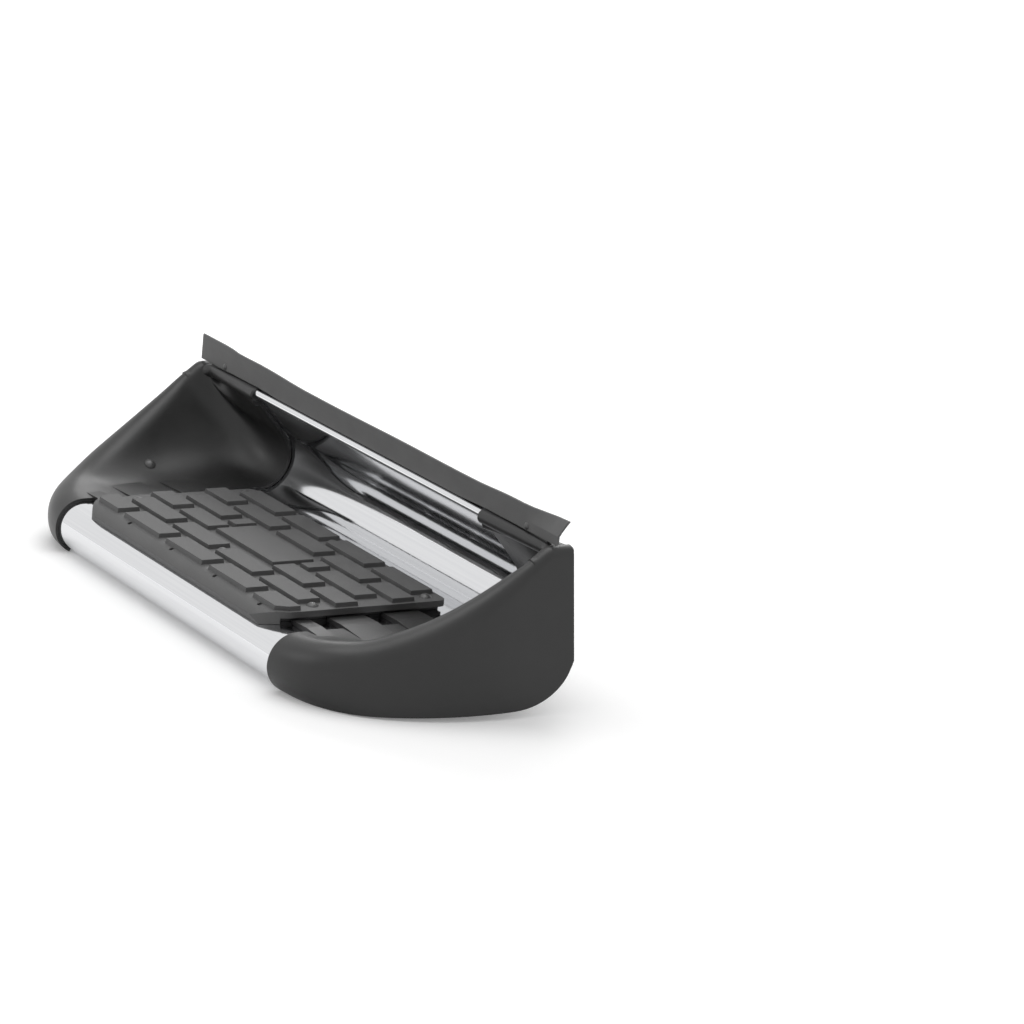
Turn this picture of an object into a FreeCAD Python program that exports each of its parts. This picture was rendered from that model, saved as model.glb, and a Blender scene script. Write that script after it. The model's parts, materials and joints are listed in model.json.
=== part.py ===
import FreeCAD, Part
import math
import os

os.makedirs("parts", exist_ok=True)
doc = FreeCAD.newDocument("bed_side_step")
Vec = FreeCAD.Vector

# Driving dimensions in millimetres and degrees. X runs along the step, Y to the back, Z up.
# The origin is the middle of the bolt pattern, in the underside of the two mount rails.
SIZES = (
    ("deck_height", 23.5, "top face of the deck above the mounting plane"),
    ("sheet_thick", 1.5, "stainless sheet"),
    ("shell_length", 410.0, "folded sheet, end to end"),
    ("nose_radius", 21.4, "outside of the round nose"),
    ("nose_centre_y", -61.8, "axis of the nose"),
    ("trough_radius", 29.5, "inside of the trough"),
    ("trough_centre_y", 106.5, "axis of the trough"),
    ("back_lean", 41.4, "back panel, degrees forward of upright"),
    ("back_run", 45.0, "flat part of the back panel"),
    ("bead_radius", 3.6, "bright bead along the top"),
    ("bead_half", 197.0, "half length of the bead"),
    ("nose_half", 200.0, "half length of the nose, whose corners are cut back"),
    ("flange_run", 7.0, "upright flange above the bead"),
    ("return_run", 12.0, "flat flange under the nose"),
    ("lip_run", 7.0, "upturned lip of that flange"),
    ("brick_pitch", 76.2, "bricks along the step"),
    ("brick_gap", 11.4, "gap between brick ends"),
    ("row_pitch", 25.4, "rows of bricks"),
    ("brick_depth", 20.6, "brick, front to back"),
    ("brick_height", 3.6, "brick above the pad"),
    ("brick_draft", 0.7, "slope of a brick side, in plan"),
    ("pad_foot", 2.5, "recessed foot of the pad"),
    ("pad_base", 7.6, "pad under the bricks"),
    ("pad_half", 165.0, "half length of the pad"),
    ("rail_x", 118.0, "middle of a mount rail"),
    ("rail_width", 36.0, "crown of a mount rail"),
    ("rail_flange", 28.0, "each flange of a mount rail"),
    ("rail_thick", 2.0, "mount rail sheet"),
    ("rail_length", 124.0, "mount rail, front to back"),
    ("rail_mid_y", 20.0, "middle of a mount rail, front to back"),
    ("bolt_row", 56.0, "bolt holes, front to back"),
    ("bolt_hole", 4.5, "bolt hole radius"),
    ("rivet_shank", 2.4, "pad rivet radius"),
    ("rivet_head", 5.0, "pad rivet head radius"),
    ("rivet_dome", 2.6, "pad rivet head height"),
    ("washer_thick", 1.2, "backing washer"),
    ("skin", 2.5, "wall of an end cap"),
    ("slip", 0.15, "clearance between pieces that slide together"),
    ("seal_half", 297.0, "half length of the seal"),
    ("pin_x", 252.0, "seal pins, from the middle"),
)
sheet = doc.addObject("Spreadsheet::Sheet", "sizes")
for row, (alias, value, note) in enumerate(SIZES, start=1):
    sheet.set("A%d" % row, alias)
    sheet.set("B%d" % row, str(value))
    sheet.set("C%d" % row, note)
    sheet.setAlias("B%d" % row, alias)
doc.recompute()


def size(alias):
    return float(sheet.get(alias))


DECK = size("deck_height")
SLIP = size("slip")
SHEET = size("sheet_thick")
X_AXIS = Vec(1, 0, 0)
Y_AXIS = Vec(0, 1, 0)
Z_AXIS = Vec(0, 0, 1)
nodes = {}


def keep(label, thing):
    """Names a finished sub-part, which is also its file name."""
    thing.Label = label
    nodes[label] = thing
    return thing


def feature(name, shape):
    """Holds a shape that neither a sketch nor a primitive gives."""
    thing = doc.addObject("Part::Feature", name)
    thing.Shape = shape
    thing.Placement = FreeCAD.Placement()
    return thing


def box(name, low, high):
    thing = doc.addObject("Part::Box", name)
    thing.Length = high[0] - low[0]
    thing.Width = high[1] - low[1]
    thing.Height = high[2] - low[2]
    thing.Placement.Base = Vec(*low)
    return thing


def cylinder(name, radius_alias, length, base, axis, extra=0.0):
    """A round bar whose radius comes from the sheet."""
    thing = doc.addObject("Part::Cylinder", name)
    thing.setExpression("Radius", "sizes.%s + %g" % (radius_alias, extra))
    thing.Height = length
    thing.Placement = FreeCAD.Placement(Vec(*base), FreeCAD.Rotation(Z_AXIS, axis))
    return thing


def fuse(name, things):
    thing = doc.addObject("Part::MultiFuse", name)
    thing.Shapes = things
    return thing


def cut(name, base, tools):
    thing = doc.addObject("Part::Cut", name)
    thing.Base = base
    thing.Tool = tools[0] if len(tools) == 1 else fuse(name + "_tools", tools)
    return thing


def sketch_body(name, plane_role, geometry, length):
    """A body with one closed sketch, padded to both sides of its plane."""
    body = doc.addObject("PartDesign::Body", name)
    plane = [item for item in body.Origin.OriginFeatures if item.Role == plane_role][0]
    sketch = body.newObject("Sketcher::SketchObject", name + "_profile")
    sketch.AttachmentSupport = (plane, [""])
    sketch.MapMode = "FlatFace"
    sketch.addGeometry(geometry, False)
    pad = body.newObject("PartDesign::Pad", name + "_pad")
    pad.Profile = sketch
    pad.SideType = "Symmetric"
    pad.setExpression("Length", length)
    return body


def fold(start, heading, moves, depth):
    """Edges of one face of a folded sheet, walked from start.

    A move is a run length, or a bend as (radius of the seen face, degrees to the left).
    The face lies depth to the right of the seen face.
    """
    edges = []
    here = Vec(*start, 0)
    turn = math.radians(heading)
    right = Vec(math.sin(turn), -math.cos(turn), 0)
    here = here + right * depth
    for move in moves:
        if isinstance(move, tuple):
            radius, degrees = move
            side = 1 if degrees > 0 else -1
            reach = radius + side * depth
            left = Vec(-math.sin(turn), math.cos(turn), 0)
            centre = here + left * (side * reach)
            sweep = math.radians(abs(degrees))
            first = turn - side * math.pi / 2
            last = first + side * sweep
            circle = Part.Circle(centre, Z_AXIS, reach)
            edges.append(Part.ArcOfCircle(circle, min(first, last), max(first, last)))
            here = centre + Vec(math.cos(last), math.sin(last), 0) * reach
            turn += side * sweep
        else:
            there = here + Vec(math.cos(turn), math.sin(turn), 0) * move
            edges.append(Part.LineSegment(here, there))
            here = there
    return edges, here


def domed_pin(spot, axis, head, dome, shank, length, tail, tail_height):
    """A turned pin: a low round head above spot, a shank below it and a wider tail at its end."""
    ball = (head ** 2 + dome ** 2) / (2 * dome)
    half = math.asin(head / ball) / 2
    outline = [
        Vec(0, 0, dome),
        Vec(0, 0, -length),
        Vec(tail, 0, -length),
        Vec(tail, 0, tail_height - length),
        Vec(shank, 0, tail_height - length),
        Vec(shank, 0, 0),
        Vec(head, 0, 0),
    ]
    middle = Vec(ball * math.sin(half), 0, dome - ball + ball * math.cos(half))
    edges = [Part.LineSegment(first, second).toShape() for first, second in zip(outline, outline[1:])]
    edges.append(Part.Arc(outline[-1], middle, outline[0]).toShape())
    pin = Part.Face(Part.Wire(edges)).revolve(Vec(0, 0, 0), Z_AXIS, 360)
    place = FreeCAD.Placement(spot, FreeCAD.Rotation(Z_AXIS, axis))
    return pin.transformed(place.toMatrix(), True)


def folded_profile(start, heading, moves, thick, gap=0.0):
    """Closed outline of a folded sheet: its seen face, its other face and the two cut ends.

    With a gap the outline is that much larger on both faces.
    """
    seen, seen_end = fold(start, heading, moves, -gap)
    other, other_end = fold(start, heading, moves, thick + gap)
    turn = math.radians(heading)
    right = Vec(math.sin(turn), -math.cos(turn), 0)
    seen_start = Vec(*start, 0) - right * gap
    other_start = Vec(*start, 0) + right * (thick + gap)
    ends = [Part.LineSegment(seen_end, other_end), Part.LineSegment(seen_start, other_start)]
    return seen + other + ends


# Folded shell: lip, flange under the nose, nose, deck, trough, back panel, bead, top flange
NOSE_Y = size("nose_centre_y")
NOSE_R = size("nose_radius")
NOSE_Z = DECK - NOSE_R
TROUGH_Y = size("trough_centre_y")
TROUGH_R = size("trough_radius")
TROUGH_Z = DECK + TROUGH_R
LEAN = size("back_lean")
LIP_BEND = 4.0
BEAD_ENTRY = 60.0
BEAD_TURN = 190.0
BEAD_BEND = 2.0
lip_start = (
    NOSE_Y + size("return_run") + LIP_BEND,
    NOSE_Z - NOSE_R + LIP_BEND + size("lip_run"),
)
shell_moves = [
    size("lip_run"),
    (LIP_BEND, -90.0),
    size("return_run"),
    (NOSE_R, -180.0),
    TROUGH_Y - NOSE_Y,
    (TROUGH_R, 90.0 + LEAN),
    size("back_run"),
    (BEAD_BEND, BEAD_ENTRY),
    (size("bead_radius"), -BEAD_TURN),
    (BEAD_BEND, BEAD_TURN - BEAD_ENTRY - LEAN),
    size("flange_run"),
]
shell_profile = folded_profile(lip_start, -90.0, shell_moves, SHEET)
shell_body = sketch_body("shell_body", "YZ_Plane", shell_profile, "sizes.shell_length")

# Where the top flange stands, found from the same walk
flange_tip = fold(lip_start, -90.0, shell_moves, 0.0)[1]
FLANGE_Y = flange_tip.x
FLANGE_TOP = flange_tip.y
BEAD_EDGE = shell_profile[len(shell_moves) - 3]
BEAD_Y = BEAD_EDGE.Center.x
BEAD_Z = BEAD_EDGE.Center.y

# Rivet places: in the end gaps of the second row and of the last row
ROWS = 6
ROWS_MIDDLE = 9.4


def row_middle(row):
    return ROWS_MIDDLE + (row - (ROWS - 1) / 2) * size("row_pitch")


def row_front(row):
    return row_middle(row) - size("brick_depth") / 2


RIVET_ROWS = (1, 5)
rivet_spots = []
for row in RIVET_ROWS:
    for step in (-2, 0, 2):
        rivet_spots.append((step * size("brick_pitch"), row_middle(row)))

FAR = 400.0
BEAD_CUT_Y = BEAD_Y - 12.0
BEAD_CUT_Z = BEAD_Z - 10.0
NOSE_CUT_Y = -44.0
shell_tools = []
for side in (-1, 1):
    inner = size("bead_half")
    low_x = inner if side > 0 else -FAR
    high_x = FAR if side > 0 else -inner
    low = (low_x, BEAD_CUT_Y, BEAD_CUT_Z)
    shell_tools.append(box("bead_stop_%d" % (side + 1), low, (high_x, FAR, FAR)))
    inner = size("nose_half")
    low_x = inner if side > 0 else -FAR
    high_x = FAR if side > 0 else -inner
    high = (high_x, NOSE_CUT_Y, FAR)
    shell_tools.append(box("nose_stop_%d" % (side + 1), (low_x, -FAR, -FAR), high))
for index, (rx, ry) in enumerate(rivet_spots):
    drill = cylinder("shell_drill_%d" % index, "rivet_shank", 10.0, (rx, ry, DECK - 6), Z_AXIS, 0.1)
    shell_tools.append(drill)
keep("step_shell", cut("shell", shell_body, shell_tools))

# Mount rails: hat channels with the crown down and the flanges against the deck
RAIL_TOP = DECK - SHEET
RAIL_T = size("rail_thick")
RAIL_BEND = 3.0


def rail_moves():
    web = RAIL_TOP - 2 * RAIL_BEND - RAIL_T
    crown = size("rail_width") - 2 * RAIL_BEND
    flange = size("rail_flange") - RAIL_BEND
    return [
        flange,
        (RAIL_BEND, -90.0),
        web,
        (RAIL_BEND, 90.0),
        crown,
        (RAIL_BEND, 90.0),
        web,
        (RAIL_BEND, -90.0),
        flange,
    ]


for side, label in ((-1, "left_mount_rail"), (1, "right_mount_rail")):
    half = size("rail_width") / 2 + size("rail_flange")
    start = (side * size("rail_x") - half, RAIL_TOP)
    profile = folded_profile(start, 0.0, rail_moves(), RAIL_T)
    rail = sketch_body(label + "_body", "XZ_Plane", profile, "sizes.rail_length")
    rail.Placement.Base = Vec(0, size("rail_mid_y"), 0)
    tools = []
    for row_side in (-1, 1):
        spot = (side * size("rail_x"), row_side * size("bolt_row") / 2, -5)
        tools.append(cylinder(label + "_bolt_%d" % (row_side + 1), "bolt_hole", 12.0, spot, Z_AXIS))
    for index, (rx, ry) in enumerate(rivet_spots):
        if rx * side > 0:
            spot = (rx, ry, RAIL_TOP - 6)
            tools.append(cylinder(label + "_drill_%d" % index, "rivet_shank", 10.0, spot, Z_AXIS, 0.1))
    keep(label, cut(label + "_cut", rail, tools))

# Tread pad: one moulding with a recessed foot, a base, an apron over the nose and raised bricks
FOOT_TOP = DECK + size("pad_foot")
BASE_TOP = FOOT_TOP + size("pad_base")
PAD_HALF = size("pad_half")
PAD_MARGIN = 3.0
PAD_BACK = row_front(ROWS - 1) + size("brick_depth") + PAD_MARGIN
FOOT_INSET = 3.0
END_INSET = 9.0
END_LIP = 5.0
APRON_END = math.radians(122.0)
APRON_TAPER = 3.2


def nose_point(radius, angle):
    return Vec(NOSE_Y + radius * math.cos(angle), NOSE_Z + radius * math.sin(angle), 0)


apron_outer = BASE_TOP - NOSE_Z
apron_inner = NOSE_R + SLIP
apron_middle = (math.pi / 2 + APRON_END) / 2
apron_tip = nose_point(apron_outer - APRON_TAPER, APRON_END)
apron_heel = nose_point(apron_inner, APRON_END)
pad_corners = [
    nose_point(apron_inner, math.pi / 2),
    Vec(PAD_BACK - FOOT_INSET, DECK + SLIP, 0),
    Vec(PAD_BACK - FOOT_INSET, FOOT_TOP, 0),
    Vec(PAD_BACK, FOOT_TOP, 0),
    Vec(PAD_BACK, BASE_TOP, 0),
    nose_point(apron_outer, math.pi / 2),
]
pad_profile = [Part.LineSegment(a, b) for a, b in zip(pad_corners, pad_corners[1:])]
pad_profile.append(
    Part.Arc(pad_corners[-1], nose_point(apron_outer - APRON_TAPER / 3, apron_middle), apron_tip)
)
pad_profile.append(Part.LineSegment(apron_tip, apron_heel))
pad_profile.append(Part.Arc(apron_heel, nose_point(apron_inner, apron_middle), pad_corners[0]))
pad_body = sketch_body("pad_body", "YZ_Plane", pad_profile, "2 * sizes.pad_half")

PLATEAU_HALF = 50.0
PLATEAU_FRONT = row_front(2) + 4.0
PLATEAU_BACK = row_front(3) + size("brick_depth") - 4.0
PLATEAU_CLEAR = 6.0


def brick(name, x0, x1, y0, y1):
    """A raised block with sloped sides, a wedge stood upright."""
    draft = size("brick_draft")
    block = doc.addObject("Part::Wedge", name)
    block.Xmin, block.Xmax = x0, x1
    block.Zmin, block.Zmax = -y1, -y0
    block.X2min, block.X2max = x0 + draft, x1 - draft
    block.Z2min, block.Z2max = -y1 + draft, -y0 - draft
    block.Ymin = -0.5
    block.setExpression("Ymax", "sizes.brick_height")
    block.Placement = FreeCAD.Placement(Vec(0, 0, BASE_TOP), FreeCAD.Rotation(X_AXIS, 90))
    return block


BRICK_END = 162.0
BRICK_LEAST = 4.0
bricks = []
for row in range(ROWS):
    pitch = size("brick_pitch")
    length = pitch - size("brick_gap")
    shift = 0.0 if row % 2 == 0 else pitch / 2
    front = row_front(row)
    for step in range(-3, 4):
        x0 = max(step * pitch + shift - length / 2, -BRICK_END)
        x1 = min(step * pitch + shift + length / 2, BRICK_END)
        if row in (2, 3):
            if abs(x0 + x1) / 2 < PLATEAU_HALF and x0 < 0 < x1:
                continue
            if x0 > 0:
                x0 = max(x0, PLATEAU_HALF + PLATEAU_CLEAR)
            if x1 < 0:
                x1 = min(x1, -PLATEAU_HALF - PLATEAU_CLEAR)
        if x1 - x0 > BRICK_LEAST:
            name = "brick_%d_%d" % (row, step + 3)
            bricks.append(brick(name, x0, x1, front, front + size("brick_depth")))
bricks.append(brick("plateau", -PLATEAU_HALF, PLATEAU_HALF, PLATEAU_FRONT, PLATEAU_BACK))

FRONT_CORNER = (40.0, 26.0)
BACK_CORNER = (8.0, 7.0)
CORNER_LOW = DECK - 30.0
CORNER_TALL = 60.0
BRICK_CORNER = (8.0, 14.0)
PAD_FRONT = nose_point(apron_outer, APRON_END).x


def corner_tool(name, side, y_edge, inward, reach):
    """What is cut away to round a pad corner in plan; inward is the way from its edge to the pad."""
    along, across = reach
    middle = Vec(side * (PAD_HALF - along), y_edge + inward * across, CORNER_LOW)
    x0, x1 = sorted((middle.x, side * (PAD_HALF + 1.0)))
    y0, y1 = sorted((middle.y, y_edge - inward))
    block = Part.makeBox(x1 - x0, y1 - y0, CORNER_TALL, Vec(x0, y0, CORNER_LOW))
    oval = Part.Ellipse(middle + X_AXIS * along, middle + Y_AXIS * across, middle)
    pillar = Part.Face(Part.Wire(oval.toShape())).extrude(Vec(0, 0, CORNER_TALL))
    return feature(name, block.cut(pillar))


pad_tools = []
for side in (-1, 1):
    x_low = side * PAD_HALF if side < 0 else PAD_HALF - END_INSET
    low = (x_low, NOSE_Y, CORNER_LOW)
    high = (x_low + END_INSET, FAR, BASE_TOP - END_LIP)
    pad_tools.append(box("foot_cut_%d" % (side + 1), low, high))
    pad_tools.append(corner_tool("front_corner_%d" % (side + 1), side, PAD_FRONT, 1, FRONT_CORNER))
    pad_tools.append(corner_tool("back_corner_%d" % (side + 1), side, PAD_BACK, -1, BACK_CORNER))
    tip = Vec(side * (BRICK_END + 1), row_front(0) - 1, BASE_TOP)
    tip_cut = [tip, tip - X_AXIS * (side * BRICK_CORNER[0]), tip + Y_AXIS * BRICK_CORNER[1], tip]
    prism = Part.Face(Part.makePolygon(tip_cut)).extrude(Z_AXIS * CORNER_TALL)
    pad_tools.append(feature("brick_corner_%d" % (side + 1), prism))
for index, (rx, ry) in enumerate(rivet_spots):
    pad_tools.append(cylinder("pad_drill_%d" % index, "rivet_shank", 20.0, (rx, ry, DECK - 6), Z_AXIS, 0.1))
DRAIN = 3.8
DRAIN_Y = -66.4
DRAIN_FIRST = -92.0
for index in range(4):
    x = DRAIN_FIRST + index * size("brick_pitch")
    low = (x - DRAIN / 2, DRAIN_Y - DRAIN / 2, BASE_TOP - 5)
    high = (x + DRAIN / 2, DRAIN_Y + DRAIN / 2, BASE_TOP + 5)
    pad_tools.append(box("drain_%d" % index, low, high))
GROOVE_R = 1.4
GROOVE_LIFT = 0.8
for index, degrees in enumerate((101.0, 112.0)):
    spot = nose_point(apron_outer + GROOVE_LIFT, math.radians(degrees))
    groove = doc.addObject("Part::Cylinder", "apron_groove_%d" % index)
    groove.Radius = GROOVE_R
    groove.setExpression("Height", "2 * sizes.pad_half + 2")
    start = Vec(-PAD_HALF - 1, spot.x, spot.y)
    groove.Placement = FreeCAD.Placement(start, FreeCAD.Rotation(Z_AXIS, X_AXIS))
    pad_tools.append(groove)
pad_blank = fuse("pad_blank", [pad_body] + bricks)
keep("tread_pad", cut("pad_cut", pad_blank, pad_tools))

# Pad rivets and their backing washers
RIVET_TAIL = 1.6
RIVET_FLARE = 1.4
WASHER_RIM = 1.0
DRILL_GAP = 0.1
rivets = []
washers = []
for rx, ry in rivet_spots:
    under = RAIL_TOP - RAIL_T if abs(rx) > 1 else RAIL_TOP
    low = under - size("washer_thick")
    shank = size("rivet_shank")
    head = size("rivet_head")
    length = BASE_TOP - low + RIVET_TAIL
    spot = Vec(rx, ry, BASE_TOP)
    dome = size("rivet_dome")
    rivets.append(domed_pin(spot, Z_AXIS, head, dome, shank, length, shank + RIVET_FLARE, RIVET_TAIL))
    disc = Part.makeCylinder(head + WASHER_RIM, size("washer_thick"), Vec(rx, ry, low))
    bore_start = Vec(rx, ry, low - size("washer_thick"))
    bore = Part.makeCylinder(shank + DRILL_GAP, 3 * size("washer_thick"), bore_start)
    washers.append(disc.cut(bore))
keep("pad_rivets", feature("pad_rivet_set", Part.makeCompound(rivets)))
keep("rivet_washers", feature("washer_set", Part.makeCompound(washers)))

# End cap: the wall in plan is a straight run at the back and a quarter of an ellipse to the nose
SKIN = size("skin")
LIP = SKIN + SLIP
WALL_Y0 = 70.0
WALL_X0 = 190.0
WALL_A = 109.0
NOSE_RIM = NOSE_R + LIP
WALL_B = WALL_Y0 - NOSE_Y + NOSE_RIM
nose_end = Vec(WALL_X0, WALL_Y0 - WALL_B, 0)
side_end = Vec(WALL_X0 + WALL_A, WALL_Y0, 0)
quarter = Part.Ellipse(nose_end, side_end, Vec(WALL_X0, WALL_Y0, 0))
quarter_edge = quarter.toShape(0, math.pi / 2)
QUARTER = quarter_edge.Length

RIM_BACK = 7.6
RIM_GROWTH = 0.6
NOSE_RISE = 12.0
PEAK = 90.9
RISE_START = -40.2
RISE_END = 91.4
RISE_CURVE = 1.34
NOSE_BLEND = 0.417
FOOT_BACK_Y = 122.0
FOOT_BACK_Z = 5.5
FOOT_CORNER_Y = 70.0
FOOT_CORNER_Z = -37.7
FOOT_FRONT_Y = -52.0
FOOT_FRONT_Z = -42.4
TUCK = 0.914
LIP_X_BACK = 192.0
LIP_FRONT_Y = -28.0
PANEL_LIP = 43.0


def smooth(value):
    """Rises from 0 to 1 with level ends."""
    value = min(max(value, 0.0), 1.0)
    return value * value * (3.0 - 2.0 * value)


def wall_plan(along):
    """Place and outward normal of the wall in plan; along grows from the side to the nose."""
    if along <= 0:
        return Vec(WALL_X0 + WALL_A, WALL_Y0 - along, 0), Vec(1, 0, 0)
    from_nose = max(QUARTER - along, 0.0)
    spot = quarter_edge.valueAt(quarter_edge.getParameterByLength(from_nose))
    normal = Vec((spot.x - WALL_X0) / WALL_A ** 2, (spot.y - WALL_Y0) / WALL_B ** 2, 0)
    return spot, normal.normalize()


def rim_radius(along):
    return RIM_BACK + (NOSE_RIM - RIM_BACK) * max(along / QUARTER, 0.0) ** RIM_GROWTH


def crest_height(along):
    """Top of the rim above the deck."""
    spot, normal = wall_plan(along)
    crest_y = spot.y - rim_radius(along) * normal.y
    rise = min(max((crest_y - RISE_START) / (RISE_END - RISE_START), 0.0), 1.0) ** RISE_CURVE
    height = NOSE_RISE + (PEAK - NOSE_RISE) * rise
    blend = smooth((along / QUARTER - NOSE_BLEND) / (1.0 - NOSE_BLEND))
    return height + (LIP - height) * blend


def foot_height(along):
    """Bottom edge of the wall above the deck: a rounded back corner, then a straight slope."""
    y = wall_plan(along)[0].y
    if y > FOOT_CORNER_Y:
        part = min((y - FOOT_CORNER_Y) / (FOOT_BACK_Y - FOOT_CORNER_Y), 1.0)
        return FOOT_CORNER_Z + (FOOT_BACK_Z - FOOT_CORNER_Z) * (1.0 - math.sqrt(1.0 - part * part))
    part = min((FOOT_CORNER_Y - y) / (FOOT_CORNER_Y - FOOT_FRONT_Y), 1.0)
    height = FOOT_CORNER_Z + (FOOT_FRONT_Z - FOOT_CORNER_Z) * part
    blend = smooth((along / QUARTER - NOSE_BLEND) / (1.0 - NOSE_BLEND))
    nose_foot = NOSE_Z - TUCK * NOSE_RIM - DECK
    return height + (nose_foot - height) * blend


LEAN_ANGLE = math.radians(LEAN)
panel_up = Vec(0, -math.sin(LEAN_ANGLE), math.cos(LEAN_ANGLE))
panel_back = Vec(0, math.cos(LEAN_ANGLE), math.sin(LEAN_ANGLE))
panel_foot = Vec(0, TROUGH_Y, TROUGH_Z) + panel_back * TROUGH_R
LIP_TROUGH = (TROUGH_R - LIP) * (math.pi / 2 + LEAN_ANGLE)
LIP_DECK = TROUGH_Y - LIP_FRONT_Y
LIP_TOTAL = PANEL_LIP + LIP_TROUGH + LIP_DECK


def lip_point(walk):
    """Edge of the cap on the sheet: down the panel, round the trough, forward over the deck."""
    inward = smooth((walk - PANEL_LIP - LIP_TROUGH) / (LIP_CORNER * LIP_DECK))
    x = LIP_X_BACK + (WALL_X0 - LIP_X_BACK) * inward
    if walk < PANEL_LIP:
        spot = panel_foot + panel_up * (PANEL_LIP - walk) - panel_back * LIP
    elif walk < PANEL_LIP + LIP_TROUGH:
        angle = LEAN_ANGLE - (walk - PANEL_LIP) / (TROUGH_R - LIP)
        reach = TROUGH_R - LIP
        spot = Vec(0, TROUGH_Y + reach * math.cos(angle), TROUGH_Z + reach * math.sin(angle))
    else:
        spot = Vec(0, TROUGH_Y - (walk - PANEL_LIP - LIP_TROUGH), DECK + LIP)
    return Vec(x, spot.y, spot.z)


FINE_POINTS = 40
BOWL_POINTS = 15
RIM_POINTS = 11
WALL_POINTS = 12
CREST_START = -41.5
CREST_PACE = 0.3
FOOT_LAG = 10.0
BOWL_PULL = 0.42
SLOPE_STEP = 2.0
BOWL_TURN = 70.0
END_PULL = 0.15
PULL_RUN = 70.0
LEVEL_RUN = 130.0
TUCK_FROM = 0.5
LIP_CORNER = 0.7


def evenly(points, count):
    """The same line of points at even spacing."""
    run = [0.0]
    for first, second in zip(points, points[1:]):
        run.append(run[-1] + (second - first).Length)
    spaced = []
    index = 0
    for step in range(count):
        target = run[-1] * step / (count - 1)
        while index < len(run) - 2 and run[index + 1] < target:
            index += 1
        part = (target - run[index]) / (run[index + 1] - run[index])
        spaced.append(points[index] + (points[index + 1] - points[index]) * min(part, 1.0))
    return spaced


def cap_section(walk):
    """One line of points from the lip, through the bowl, over the rim and down the wall."""
    curve = (QUARTER - CREST_START - CREST_PACE * LIP_TOTAL) / LIP_TOTAL ** 2
    along = CREST_START + CREST_PACE * walk + curve * walk * walk
    spot, normal = wall_plan(along)
    radius = rim_radius(along)
    height = crest_height(along)
    fall = (crest_height(along - SLOPE_STEP) - crest_height(along + SLOPE_STEP)) / (2 * SLOPE_STEP)
    back = Vec(-normal.y, normal.x, 0)
    tilt = math.sqrt(1.0 + fall * fall)
    rim_up = (Z_AXIS - back * fall) * (1.0 / tilt)
    centre = Vec(spot.x, spot.y, DECK + height) - normal * radius - rim_up * radius
    lip = lip_point(walk)
    steep = smooth((LIP_TOTAL - walk) / LEVEL_RUN)
    first = math.radians(90.0 + BOWL_TURN * steep)
    arrive = centre + (normal * math.cos(first) + rim_up * math.sin(first)) * radius
    heading = normal * math.sin(first) - rim_up * math.cos(first)
    turned = min(max((walk - PANEL_LIP - LIP_TROUGH) / LIP_DECK, 0.0), 1.0)
    leave = (X_AXIS * (1.0 - turned) + normal * turned).normalize()
    pull = (arrive - lip).Length * BOWL_PULL
    second = lip + leave * pull
    third = arrive - heading * (pull * (END_PULL + (1.0 - END_PULL) * smooth(walk / PULL_RUN)))
    bowl = []
    rim = []
    for index in range(FINE_POINTS + 1):
        part = index / FINE_POINTS
        rest = 1.0 - part
        bowl.append(
            lip * rest ** 3
            + second * (3 * rest * rest * part)
            + third * (3 * rest * part * part)
            + arrive * part ** 3
        )
        angle = first * rest
        rim.append(centre + (normal * math.cos(angle) + rim_up * math.sin(angle)) * radius)
    top = rim[-1]
    wall = [top]
    top_along = along - radius * fall / tilt
    foot_along = along - FOOT_LAG * (1.0 - smooth(walk / (PANEL_LIP + LIP_TROUGH)))
    foot = DECK + foot_height(foot_along)
    tuck = NOSE_RIM * smooth((along / QUARTER - TUCK_FROM) / (1.0 - TUCK_FROM))
    for index in range(1, FINE_POINTS + 1):
        part = index / FINE_POINTS
        place, facing = wall_plan(top_along + (foot_along - top_along) * part)
        inset = tuck * (1.0 - math.sqrt(1.0 - (TUCK * part) ** 2))
        wall.append(Vec(place.x, place.y, top.z + (foot - top.z) * part) - facing * inset)
    return evenly(bowl, BOWL_POINTS) + evenly(rim, RIM_POINTS)[1:] + evenly(wall, WALL_POINTS)[1:]


CAP_STATIONS = 27
PARALLEL = 1.0


def inner_grid(points):
    """The hidden side of the skin: each point moved one wall thickness along its normal.

    Where the lip and a section run the same way, the point before gives the normal.
    """
    last_row = len(points) - 1
    last_column = len(points[0]) - 1
    moved = []
    for row in range(last_row + 1):
        line = []
        for column in range(last_column + 1):
            ahead = points[min(row + 1, last_row)][column] - points[max(row - 1, 0)][column]
            across = points[row][min(column + 1, last_column)] - points[row][max(column - 1, 0)]
            square = across.cross(ahead)
            if square.Length < PARALLEL:
                square = moved[row - 1][column] - points[row - 1][column]
            line.append(points[row][column] + square.normalize() * SKIN)
        moved.append(line)
    return moved


def surface_over(points):
    """A smooth cubic surface pulled to a grid of points, with its edges clamped to the outer rows."""
    knots = []
    repeats = []
    for count in (len(points), len(points[0])):
        knots.append([float(index) for index in range(count - 2)])
        repeats.append([4] + [1] * (count - 4) + [4])
    surface = Part.BSplineSurface()
    surface.buildFromPolesMultsKnots(
        points, repeats[0], repeats[1], knots[0], knots[1], False, False, 3, 3
    )
    return surface


def edge_face(outer_line, inner_line):
    """A narrow face between two lines that run the same way."""
    wires = [Part.Wire(outer_line.toShape()), Part.Wire(inner_line.toShape())]
    return Part.makeLoft(wires, False, True).Faces[0]


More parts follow.
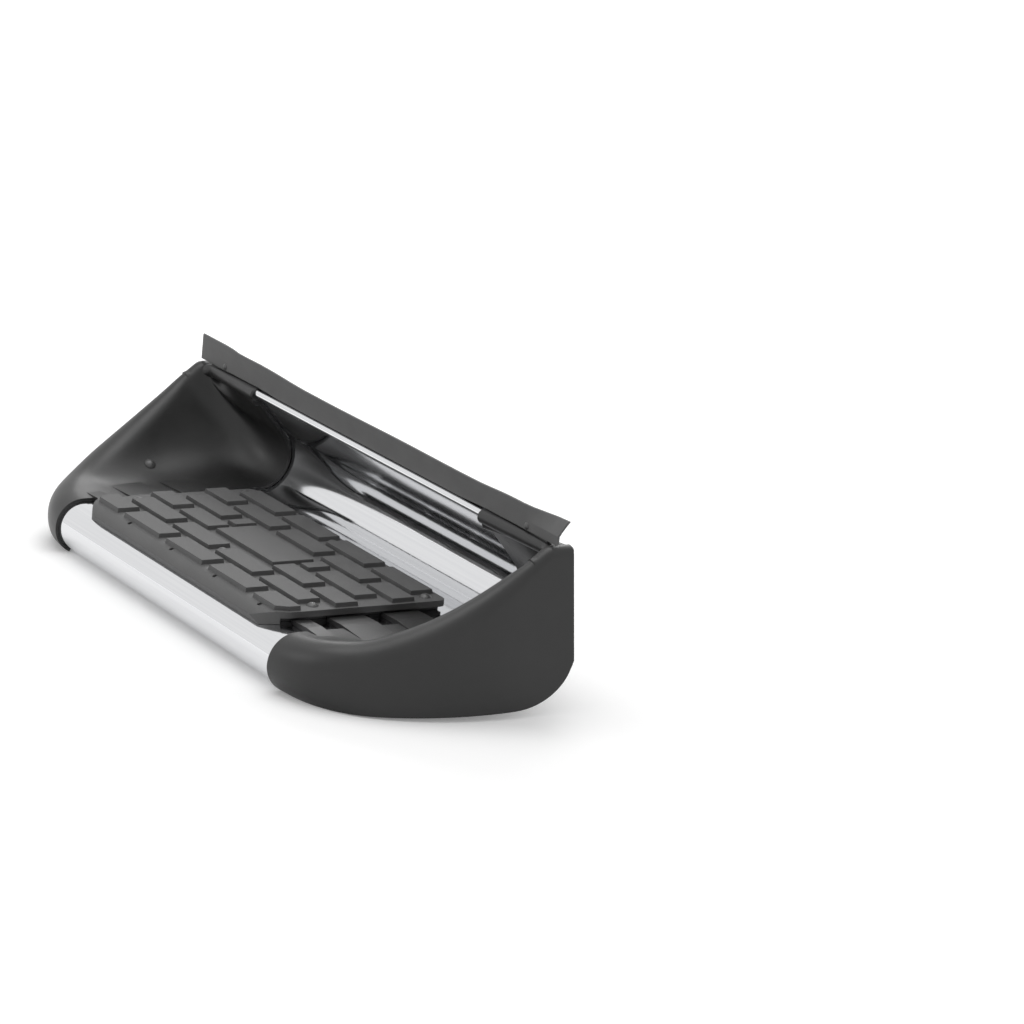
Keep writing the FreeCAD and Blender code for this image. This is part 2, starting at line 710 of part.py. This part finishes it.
def skin_solid(outer, inner):
    """Closes two matching surfaces into one solid with ruled edges."""
    faces = [outer.toShape(), inner.toShape()]
    first_u, last_u, first_v, last_v = outer.bounds()
    for u in (first_u, last_u):
        faces.append(edge_face(outer.uIso(u), inner.uIso(u)))
    for v in (first_v, last_v):
        faces.append(edge_face(outer.vIso(v), inner.vIso(v)))
    shell = Part.makeShell(faces)
    shell.sewShape()
    solid = Part.makeSolid(shell)
    if solid.Volume < 0:
        solid.reverse()
    return solid


grid = [cap_section(LIP_TOTAL * index / (CAP_STATIONS - 1)) for index in range(CAP_STATIONS)]
cap_outer = surface_over(grid)
cap_inner = surface_over(inner_grid(grid))
cap_skin = skin_solid(cap_outer, cap_inner)

# Arm along the top of the cap: a round bar from the bead that bends into the rim, and a fin for the seal
ARM_R = 5.9
ARM_DROP = 1.2
ARM_FORWARD = 0.6
ARM_LEAD = 1.6
ARM_CORNER_Y = 101.5
ARM_BEND = 15.0
ARM_TAIL = 8.0
ARM_TOP = BEAD_Z - ARM_DROP + ARM_R
rim_way = Vec(0, -0.93, -0.37).normalize()
arm_start = Vec(LIP_X_BACK - ARM_LEAD, BEAD_Y - ARM_FORWARD, BEAD_Z - ARM_DROP)
arm_corner = Vec(WALL_X0 + WALL_A - RIM_BACK, ARM_CORNER_Y, ARM_TOP - ARM_R - ARM_DROP)
arm_way = (arm_corner - arm_start).normalize()
half_turn = arm_way.getAngle(rim_way) / 2
bend_run = ARM_BEND * math.tan(half_turn)
bend_start = arm_corner - arm_way * bend_run
bend_end = arm_corner + rim_way * bend_run
to_middle = (rim_way - arm_way).normalize()
bend_middle = arm_corner + to_middle * (ARM_BEND / math.cos(half_turn) - ARM_BEND)
arm_line = Part.Wire([
    Part.LineSegment(arm_start, bend_start).toShape(),
    Part.Arc(bend_start, bend_middle, bend_end).toShape(),
    Part.LineSegment(bend_end, bend_end + rim_way * ARM_TAIL).toShape(),
])
arm_ring = Part.Wire(Part.Circle(arm_start, arm_way, ARM_R).toShape())
arm = arm_line.makePipeShell([arm_ring], True, False)
ARM_NOSE = 1.2
arm_nose = Part.makeCone(ARM_R - ARM_NOSE, ARM_R, ARM_NOSE, arm_start - arm_way * ARM_NOSE, arm_way)
FILLER_R = 5.0
filler_start = lip_point(0.0) + Z_AXIS
filler_line = Vec(arm_corner.x, WALL_Y0 - CREST_START, arm_corner.z) - filler_start
filler = Part.makeCylinder(FILLER_R, filler_line.Length, filler_start, filler_line)
FIN_LOW = arm_corner.z - ARM_R / 2
FIN_START = size("bead_half") + SLIP
FIN_END = 280.0
fin = Part.makeBox(FIN_END - FIN_START, SHEET, FLANGE_TOP - FIN_LOW, Vec(FIN_START, FLANGE_Y, FIN_LOW))

# Finger ridges beside the pad, sloping up into the bowl
FINGERS = ((-52.0, -38.0), (-21.0, 11.0), (28.0, 60.0))
FINGER_START = 163.0
FINGER_CREST = 186.0
FINGER_END = 232.0
FINGER_LOW = 3.4
FINGER_HIGH = 4.3
FINGER_TAIL = 2.0
fingers = []
for y0, y1 in FINGERS:
    corners = [
        Vec(FINGER_START, y0, DECK + SLIP),
        Vec(FINGER_START, y0, DECK + FINGER_LOW),
        Vec(FINGER_CREST, y0, DECK + FINGER_HIGH),
        Vec(FINGER_END, y0, DECK + FINGER_TAIL),
        Vec(FINGER_END, y0, DECK + SLIP),
    ]
    fingers.append(Part.Face(Part.makePolygon(corners + corners[:1])).extrude(Vec(0, y1 - y0, 0)))

# Tab that hooks behind the end of the sheet, set square to the back panel
TAB_X = 182.0
TAB_END = 212.0
TAB_FROM = 8.0
TAB_TO = 30.0
TAB_THICK = 3.0
HOOK_FRONT = 2.4
SHEET_END = size("shell_length") / 2


def panel_box(x0, x1, up0, up1, deep0, deep1):
    """A block placed by height up the panel and depth behind its seen face."""
    corner = panel_foot + X_AXIS * x0 + panel_up * up0 + panel_back * deep0
    foot = Part.makePolygon([
        corner,
        corner + X_AXIS * (x1 - x0),
        corner + X_AXIS * (x1 - x0) + panel_up * (up1 - up0),
        corner + panel_up * (up1 - up0),
        corner,
    ])
    return Part.Face(foot).extrude(panel_back * (deep1 - deep0))


tab = panel_box(TAB_X, TAB_END, TAB_FROM, TAB_TO, SHEET + SLIP, SHEET + SLIP + TAB_THICK)
hook = panel_box(SHEET_END + 0.3, TAB_END, TAB_FROM, TAB_TO, -HOOK_FRONT, SHEET + SLIP + TAB_THICK)

# Domed pin in the bowl, square to its surface
CAP_PIN_SPOT = Vec(254.0, 29.5, DECK + 7.0)
CAP_PIN_HEAD = 5.0
CAP_PIN_DOME = 2.4
CAP_PIN_SHANK = 2.4
CAP_PIN_LENGTH = 9.0
pin_u, pin_v = cap_outer.parameter(CAP_PIN_SPOT)
pin_spot = cap_outer.value(pin_u, pin_v)
pin_axis = cap_outer.normal(pin_u, pin_v)
if pin_axis.z < 0:
    pin_axis = pin_axis * -1.0


PIN_LIFT = 0.5
CAP_PIN_TAIL = 3.2
CAP_PIN_TAIL_HEIGHT = 2.0
BORE_LENGTH = 40.0
cap_pin = domed_pin(
    pin_spot + pin_axis * PIN_LIFT,
    pin_axis,
    CAP_PIN_HEAD,
    CAP_PIN_DOME,
    CAP_PIN_SHANK,
    CAP_PIN_LENGTH,
    CAP_PIN_TAIL,
    CAP_PIN_TAIL_HEIGHT,
)
pin_bore_start = pin_spot - pin_axis * (BORE_LENGTH / 4)
pin_bore = Part.makeCylinder(CAP_PIN_SHANK + DRILL_GAP, BORE_LENGTH / 2, pin_bore_start, pin_axis)

# Seal pins go through the seal and the fins
SEAL_PIN_Z = FLANGE_TOP - 4.4
SEAL_PIN_R = 2.0
SEAL_PIN_HEAD = 3.0
seal_bore_start = Vec(size("pin_x"), FLANGE_Y - BORE_LENGTH / 2, SEAL_PIN_Z)
seal_bore = Part.makeCylinder(SEAL_PIN_R + DRILL_GAP, BORE_LENGTH, seal_bore_start, Y_AXIS)

# Slot in the cap that the folded sheet slides into, with the same cut-back corners
SLOT_GAP = 0.05
SLOT_END = 0.3
slot_edges = [line.toShape() for line in folded_profile(lip_start, -90.0, shell_moves, SHEET, SLOT_GAP)]
slot_face = Part.Face(Part.Wire(Part.sortEdges(slot_edges)[0]))
slot = slot_face.extrude(Vec(0, 0, SHEET_END + SLOT_END))
slot.Placement = FreeCAD.Placement(Vec(0, 0, 0), FreeCAD.Rotation(Y_AXIS, Z_AXIS, X_AXIS, "XYZ"))
bead_rest = Vec(size("bead_half") + SLOT_END, BEAD_CUT_Y, BEAD_CUT_Z)
nose_rest = Vec(size("nose_half") + SLOT_END, -FAR, -FAR)
slot = slot.cut(Part.makeCompound([
    Part.makeBox(FAR, FAR, FAR, bead_rest),
    Part.makeBox(FAR, FAR + NOSE_CUT_Y, 2 * FAR, nose_rest),
]))

cap_shape = cap_skin.fuse([arm, arm_nose, filler, fin, tab, hook] + fingers)
cap_shape = cap_shape.cut(Part.makeCompound([pin_bore, seal_bore])).cut(slot)
cap_shape = max(cap_shape.Solids, key=lambda solid: solid.Volume)
keep("right_end_cap", feature("right_cap", cap_shape))
keep("left_end_cap", feature("left_cap", cap_shape.mirror(Vec(0, 0, 0), X_AXIS)))
keep("right_cap_pin", feature("right_pin", cap_pin))
keep("left_cap_pin", feature("left_pin", cap_pin.mirror(Vec(0, 0, 0), X_AXIS)))

# Seal: a channel over the top flange with a flap standing up, taller toward its ends
LEG_FRONT = 1.6
LEG_BACK = 3.8
BACK_LEG_LOW = 116.3
BEAD_CLEAR = 0.35
ARM_CLEAR = 0.35
LEG_STEP_FROM = 150.0
LEG_STEP_RUN = 36.0
RELIEF = 2.0
BRIDGE = 3.0
FLAP_TOP = 133.4
FLAP_THICK = 2.2
FLAP_TIP = 0.6
FLAP_ROOT = 1.5
WAVE = 0.2
WAVE_PACE = 31.0
LEFT_RISE = 2.6
LEFT_FROM = 105.0
LEFT_RUN = 95.0
TIP_RISE = 1.8
TIP_FROM = 226.0
TIP_RUN = 26.0
RIGHT_RISE = 1.4
RIGHT_FROM = 172.0
RIGHT_RUN = 55.0
SWEEP = 8.0
SWEEP_FROM = 245.0
SWEEP_RUN = 52.0
SEAL_STATIONS = 46
SEAL_THIN = 284.0
BEAD_TOP = BEAD_Z + size("bead_radius")


def seal_section(x):
    """The seal cut across at x; its front leg lies on the bead, and clears the arm at the ends."""
    top = FLAP_TOP + WAVE * math.sin(x / WAVE_PACE)
    top += LEFT_RISE * smooth((-x - LEFT_FROM) / LEFT_RUN)
    top += TIP_RISE * smooth((-x - TIP_FROM) / TIP_RUN)
    top += RIGHT_RISE * smooth((x - RIGHT_FROM) / RIGHT_RUN)
    sway = SWEEP * smooth((x - SWEEP_FROM) / SWEEP_RUN)
    step = smooth((abs(x) - LEG_STEP_FROM) / LEG_STEP_RUN)
    leg_low = BEAD_TOP + BEAD_CLEAR + (ARM_TOP + ARM_CLEAR - BEAD_TOP - BEAD_CLEAR) * step
    front = FLANGE_Y - SLIP
    rear = FLANGE_Y + SHEET + SLIP
    face = front - LEG_FRONT
    outline = [
        (face, leg_low),
        (front, leg_low + RELIEF),
        (front, FLANGE_TOP + SLIP),
        (rear, FLANGE_TOP + SLIP),
        (rear, BACK_LEG_LOW),
        (rear + LEG_BACK, BACK_LEG_LOW),
        (rear + LEG_BACK, FLANGE_TOP + BRIDGE),
        (face + FLAP_THICK + FLAP_ROOT, FLANGE_TOP + BRIDGE),
        (face + FLAP_THICK + sway, top - FLAP_TIP),
        (face + FLAP_THICK / 2 + sway, top),
        (face + sway, top - FLAP_TIP),
        (face, FLANGE_TOP),
    ]
    spots = [Vec(x, y, z) for y, z in outline]
    return Part.makePolygon(spots + spots[:1])


SEAL_HALF = size("seal_half")
seal_lines = []
for index in range(SEAL_STATIONS):
    seal_lines.append(seal_section(-SEAL_HALF + 2 * SEAL_HALF * index / (SEAL_STATIONS - 1)))
seal_blank = Part.makeLoft(seal_lines, True, True)
# Behind the thin ends only the front leg and the flap stay, joined by a slant
thin_back = FLANGE_Y + SLIP
flap_back = FLANGE_Y - SLIP - LEG_FRONT + FLAP_THICK + FLAP_ROOT
cut_top = FLANGE_TOP + BRIDGE + SLIP
cut_outline = [
    (thin_back, 0.0),
    (thin_back, FLANGE_TOP),
    (flap_back, FLANGE_TOP + BRIDGE),
    (flap_back, cut_top),
    (FAR, cut_top),
    (FAR, 0.0),
]
cut_spots = [Vec(SEAL_THIN, y, z) for y, z in cut_outline]
back_cut = Part.Face(Part.makePolygon(cut_spots + cut_spots[:1])).extrude(X_AXIS * FAR)
seal_cuts = [seal_bore, back_cut]
seal_cuts += [tool.mirror(Vec(0, 0, 0), X_AXIS) for tool in seal_cuts]
keep("body_seal", feature("seal", seal_blank.cut(Part.makeCompound(seal_cuts))))

SEAL_PIN_DOME = 1.6
SEAL_PIN_COLLAR = 1.0
SEAL_PIN_TAIL = 1.6
SEAL_PIN_SLACK = 0.2
pins = []
pin_front = FLANGE_Y - SLIP - LEG_FRONT
pin_rear = FLANGE_Y + SHEET + SLIP + LEG_BACK
pin_length = pin_rear - pin_front + SEAL_PIN_SLACK + SEAL_PIN_TAIL
for side in (-1, 1):
    spot = Vec(side * size("pin_x"), pin_front, SEAL_PIN_Z)
    tail = SEAL_PIN_R + SEAL_PIN_COLLAR
    pins.append(
        domed_pin(spot, -Y_AXIS, SEAL_PIN_HEAD, SEAL_PIN_DOME, SEAL_PIN_R, pin_length, tail, SEAL_PIN_TAIL)
    )
keep("seal_pins", feature("seal_pin_set", Part.makeCompound(pins)))

# Clip behind the middle of the seal
CLIP_HALF = 9.0
CLIP_THICK = 1.2
CLIP_HEIGHT = 10.0
CLIP_DROP = 1.6
clip_y = pin_rear + SLIP
clip_low = BACK_LEG_LOW - CLIP_DROP
clip_foot = FLANGE_Y + SHEET + 2 * SLIP
clip_plate = Part.makeBox(2 * CLIP_HALF, CLIP_THICK, CLIP_HEIGHT, Vec(-CLIP_HALF, clip_y, clip_low))
clip_hook = Part.makeBox(2 * CLIP_HALF, clip_y - clip_foot, CLIP_THICK, Vec(-CLIP_HALF, clip_foot, clip_low))
keep("seal_clip", feature("clip", clip_plate.fuse(clip_hook).removeSplitter()))

doc.recompute()
for thing in doc.Objects:
    state = " ".join(thing.State)
    if "Invalid" in state or "Error" in state:
        raise RuntimeError("%s is in state %s" % (thing.Name, state))
for label, thing in nodes.items():
    shape = thing.Shape
    if shape.isNull() or not shape.isValid():
        raise RuntimeError("%s has no valid shape" % label)
    shape.exportStep("parts/%s.step" % label)
    print(label, len(shape.Solids), round(shape.Volume), shape.BoundBox)
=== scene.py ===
import json
import math

import bpy
from mathutils import Matrix, Vector


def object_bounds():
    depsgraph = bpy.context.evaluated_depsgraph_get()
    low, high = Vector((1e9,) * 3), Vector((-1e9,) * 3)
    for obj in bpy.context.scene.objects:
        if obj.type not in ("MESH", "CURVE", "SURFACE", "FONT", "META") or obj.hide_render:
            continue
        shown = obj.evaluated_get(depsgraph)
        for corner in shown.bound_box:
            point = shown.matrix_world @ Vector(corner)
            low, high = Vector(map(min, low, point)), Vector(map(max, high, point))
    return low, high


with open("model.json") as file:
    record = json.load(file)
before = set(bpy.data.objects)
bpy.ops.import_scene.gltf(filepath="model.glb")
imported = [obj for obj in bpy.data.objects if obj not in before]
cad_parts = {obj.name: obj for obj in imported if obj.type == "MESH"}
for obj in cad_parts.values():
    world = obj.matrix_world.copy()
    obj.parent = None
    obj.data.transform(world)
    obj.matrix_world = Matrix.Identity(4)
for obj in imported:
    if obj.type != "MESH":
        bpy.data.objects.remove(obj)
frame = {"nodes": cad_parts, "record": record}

START_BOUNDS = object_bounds()
NODES = frame["nodes"]
scene = bpy.context.scene

MM = 0.001
WHITE = (1.0, 1.0, 1.0, 1.0)

# Camera: a long lens in the part's frame, place in metres and angles in degrees
CAMERA_PLACE = Vector((2.7328, -1.5141, 0.9254))
CAMERA_TURN = 57.246
CAMERA_TILT = 74.923
CAMERA_ROLL = 5.720
LENS = 140.625
SENSOR = 36.0


def turned(degrees, axis):
    return Matrix.Rotation(math.radians(degrees), 4, axis)


def make_camera():
    """Looks down at the step from its right front, with a small roll."""
    data = bpy.data.cameras.new("camera")
    data.lens = LENS
    data.sensor_width = SENSOR
    camera = bpy.data.objects.new("camera", data)
    view = turned(CAMERA_TURN, "Z") @ turned(CAMERA_TILT, "X") @ turned(CAMERA_ROLL, "Z")
    camera.matrix_world = Matrix.Translation(CAMERA_PLACE) @ view
    scene.collection.objects.link(camera)
    scene.camera = camera


def grey(level):
    return (level, level, level)


def mapped(tree, value, source, target):
    """Carries a value from the range source over to the range target, and holds it there at the ends."""
    node = tree.nodes.new("ShaderNodeMapRange")
    node.inputs["From Min"].default_value, node.inputs["From Max"].default_value = source
    node.inputs["To Min"].default_value, node.inputs["To Max"].default_value = target
    tree.links.new(value, node.inputs["Value"])
    return node.outputs["Result"]


# Noise values between these two limits are spread over the whole range that is asked for
NOISE_RANGE = (0.3, 0.7)
RELIEF_STRENGTH = 0.6


class Shader:
    """A material with one main shader and short calls to add and join nodes."""

    def __init__(self, name):
        self.material = bpy.data.materials.new(name)
        self.material.use_nodes = True
        self.tree = self.material.node_tree
        self.main = self.tree.nodes["Principled BSDF"]

    def add(self, kind, **settings):
        node = self.tree.nodes.new(kind)
        for key, value in settings.items():
            setattr(node, key, value)
        return node

    def join(self, source, target):
        self.tree.links.new(source, target)

    def set(self, **values):
        for key, value in values.items():
            self.main.inputs[key.replace("_", " ")].default_value = value

    def noise(self, scale, detail, stretch=(1.0, 1.0, 1.0)):
        """A noise value in the object's own space, drawn out along an axis by stretch."""
        place = self.add("ShaderNodeTexCoord")
        mapping = self.add("ShaderNodeMapping")
        mapping.inputs["Scale"].default_value = stretch
        noise = self.add("ShaderNodeTexNoise")
        noise.inputs["Scale"].default_value = scale
        noise.inputs["Detail"].default_value = detail
        self.join(place.outputs["Object"], mapping.inputs["Vector"])
        self.join(mapping.outputs["Vector"], noise.inputs["Vector"])
        return noise.outputs["Fac"]

    def tint(self, value, first, second):
        """Mixes two colours by a noise value."""
        ramp = self.add("ShaderNodeValToRGB")
        for element, position, colour in zip(ramp.color_ramp.elements, NOISE_RANGE, (first, second)):
            element.position = position
            element.color = (*colour, 1.0)
        self.join(value, ramp.inputs["Fac"])
        self.join(ramp.outputs["Color"], self.main.inputs["Base Color"])

    def roughen(self, value, low, high):
        """Lets the roughness follow a noise value."""
        self.join(mapped(self.tree, value, NOISE_RANGE, (low, high)), self.main.inputs["Roughness"])

    def bump(self, value, height, edge):
        """Fine relief of a height, over edges rounded by the radius edge, both in metres."""
        relief = self.add("ShaderNodeBump")
        relief.inputs["Distance"].default_value = height
        relief.inputs["Strength"].default_value = RELIEF_STRENGTH
        bevel = self.add("ShaderNodeBevel")
        bevel.inputs["Radius"].default_value = edge
        self.join(value, relief.inputs["Height"])
        self.join(bevel.outputs["Normal"], relief.inputs["Normal"])
        self.join(relief.outputs["Normal"], self.main.inputs["Normal"])


# Steel: noise scales are in waves per metre, and the sheet's grain is drawn out along the step
SHEET_GRAIN = 500.0
SHEET_CLOUD = 14.0
ALONG_STEP = (0.01, 1.0, 1.0)
SHEET_DARK = (0.69, 0.695, 0.71)
SHEET_LIGHT = (0.73, 0.735, 0.745)
SHEET_ROUGH = (0.07, 0.10)
PLATE_CLOUD = 60.0
PLATE_DARK = 0.36
PLATE_LIGHT = 0.46
PLATE_ROUGH = (0.38, 0.50)


def stainless():
    """Bright rolled sheet with a faint grain along the step."""
    shader = Shader("stainless")
    grain = shader.noise(SHEET_GRAIN, detail=2.0, stretch=ALONG_STEP)
    cloud = shader.noise(SHEET_CLOUD, detail=3.0)
    shader.set(Metallic=1.0)
    shader.tint(grain, SHEET_DARK, SHEET_LIGHT)
    shader.roughen(cloud, *SHEET_ROUGH)
    return shader.material


def plated():
    """Dull zinc plate for the rails, the washers and the clip."""
    shader = Shader("plated_steel")
    cloud = shader.noise(PLATE_CLOUD, detail=4.0)
    shader.set(Metallic=1.0)
    shader.tint(cloud, grey(PLATE_DARK), grey(PLATE_LIGHT))
    shader.roughen(cloud, *PLATE_ROUGH)
    return shader.material


# Mouldings: the caps, pad, seal and pins differ only in the values given for each below
MOULD_CLOUD = 45.0
ROUGH_SPREAD = 0.03


def moulding(name, dark, light, rough, gloss, grain_scale, grain_height, edge):
    """A moulded piece: two close greys, a fine grain and softened edges."""
    shader = Shader(name)
    cloud = shader.noise(MOULD_CLOUD, detail=3.0)
    grain = shader.noise(grain_scale, detail=2.0)
    shader.tint(cloud, grey(dark), grey(light))
    shader.set(Specular_IOR_Level=gloss)
    shader.roughen(cloud, rough - ROUGH_SPREAD, rough + ROUGH_SPREAD)
    shader.bump(grain, grain_height, edge)
    return shader.material


def cap_plastic():
    return moulding(
        "cap_plastic",
        dark=0.015,
        light=0.018,
        rough=0.40,
        gloss=0.45,
        grain_scale=2200.0,
        grain_height=0.05 * MM,
        edge=0.8 * MM,
    )


def pad_rubber():
    return moulding(
        "pad_rubber",
        dark=0.075,
        light=0.092,
        rough=0.60,
        gloss=0.40,
        grain_scale=1600.0,
        grain_height=0.2 * MM,
        edge=0.8 * MM,
    )


def seal_rubber():
    return moulding(
        "seal_rubber",
        dark=0.095,
        light=0.115,
        rough=0.60,
        gloss=0.35,
        grain_scale=1800.0,
        grain_height=0.05 * MM,
        edge=0.5 * MM,
    )


def pin_plastic():
    return moulding(
        "pin_plastic",
        dark=0.060,
        light=0.075,
        rough=0.33,
        gloss=0.50,
        grain_scale=2200.0,
        grain_height=0.03 * MM,
        edge=0.3 * MM,
    )


FINISHES = {
    "stainless": stainless(),
    "plated_steel": plated(),
    "cap_plastic": cap_plastic(),
    "pad_rubber": pad_rubber(),
    "seal_rubber": seal_rubber(),
    "pin_plastic": pin_plastic(),
}


def dress_nodes():
    """Gives each node the finish of its slot in the record."""
    for entry in frame["record"]["subparts"]:
        node = NODES[entry["node"]]
        node.data.materials.clear()
        node.data.materials.append(FINISHES[entry["material_slot"]])


def seen_ray(tree):
    """1 for a ray that shows the background to the eye, straight or by a mirror, else 0."""
    path = tree.nodes.new("ShaderNodeLightPath")
    value = path.outputs["Is Camera Ray"]
    for other in ("Is Glossy Ray", "Is Transmission Ray"):
        either = tree.nodes.new("ShaderNodeMath")
        either.operation = "MAXIMUM"
        tree.links.new(value, either.inputs[0])
        tree.links.new(path.outputs[other], either.inputs[1])
        value = either.outputs["Value"]
    return value


# Floor: its own light rises from the part outward, where the lamps reach it less
FLOOR_HALF = 12.0
FLOOR_GAP = 0.2 * MM
FLOOR_CLOUD = 3.0
FLOOR_DARK = 0.86
FLOOR_LIGHT = 0.88
FLOOR_ROUGH = 0.9
GLOW_NEAR = 0.12
GLOW_FAR = 0.64
GLOW_REACH = 2.6


def floor_glow(shader):
    """The glow at each place of the floor, by its distance from the part, for seen rays only."""
    place = shader.add("ShaderNodeTexCoord")
    distance = shader.add("ShaderNodeVectorMath", operation="LENGTH")
    shader.join(place.outputs["Object"], distance.inputs[0])
    level = mapped(shader.tree, distance.outputs["Value"], (0.0, GLOW_REACH), (GLOW_NEAR, GLOW_FAR))
    glow = shader.add("ShaderNodeMath", operation="MULTIPLY")
    shader.join(seen_ray(shader.tree), glow.inputs[0])
    shader.join(level, glow.inputs[1])
    return glow.outputs["Value"]


def make_floor():
    """A wide pale floor just under the lowest edge, lifted to white for the eye, with its shadow kept."""
    low = START_BOUNDS[0].z - FLOOR_GAP
    corners = [(x * FLOOR_HALF, y * FLOOR_HALF, low) for x, y in ((-1, -1), (1, -1), (1, 1), (-1, 1))]
    mesh = bpy.data.meshes.new("floor")
    mesh.from_pydata(corners, [], [(0, 1, 2, 3)])
    floor = bpy.data.objects.new("floor", mesh)
    scene.collection.objects.link(floor)
    shader = Shader("floor")
    shader.tint(shader.noise(FLOOR_CLOUD, detail=2.0), grey(FLOOR_DARK), grey(FLOOR_LIGHT))
    shader.set(Roughness=FLOOR_ROUGH, Emission_Color=WHITE)
    shader.join(floor_glow(shader), shader.main.inputs["Emission Strength"])
    floor.data.materials.append(shader.material)


ROOM_LEVEL = 0.50


def make_world():
    """A white room for the eye, and a dimmer one that lights the part."""
    world = bpy.data.worlds.new("studio")
    world.use_nodes = True
    tree = world.node_tree
    background = tree.nodes["Background"]
    background.inputs["Color"].default_value = WHITE
    level = mapped(tree, seen_ray(tree), (0.0, 1.0), (ROOM_LEVEL, 1.0))
    tree.links.new(level, background.inputs["Strength"])
    scene.world = world


def area_light(name, place, aim, size, power):
    """A rectangular lamp turned toward the point aim; metres and watts."""
    data = bpy.data.lights.new(name, "AREA")
    data.shape = "RECTANGLE"
    data.size, data.size_y = size
    data.energy = power
    light = bpy.data.objects.new(name, data)
    light.location = place
    light.rotation_mode = "QUATERNION"
    light.rotation_quaternion = (Vector(aim) - Vector(place)).to_track_quat("-Z", "Y")
    scene.collection.objects.link(light)


def make_lights():
    """One wide lamp overhead, and two weaker ones from the front and the back on the left side."""
    area_light("overhead", place=(-0.1, 0.0, 1.5), aim=(0.0, 0.0, 0.0), size=(1.5, 1.1), power=12.0)
    area_light("front", place=(-0.6, -1.7, 1.1), aim=(0.0, 0.0, 0.0), size=(0.9, 0.7), power=4.0)
    area_light("back", place=(-1.3, 1.1, 1.2), aim=(0.0, 0.0, 0.05), size=(1.2, 0.7), power=9.0)


make_camera()
dress_nodes()
make_floor()
make_world()
make_lights()
scene.view_settings.view_transform = "Standard"
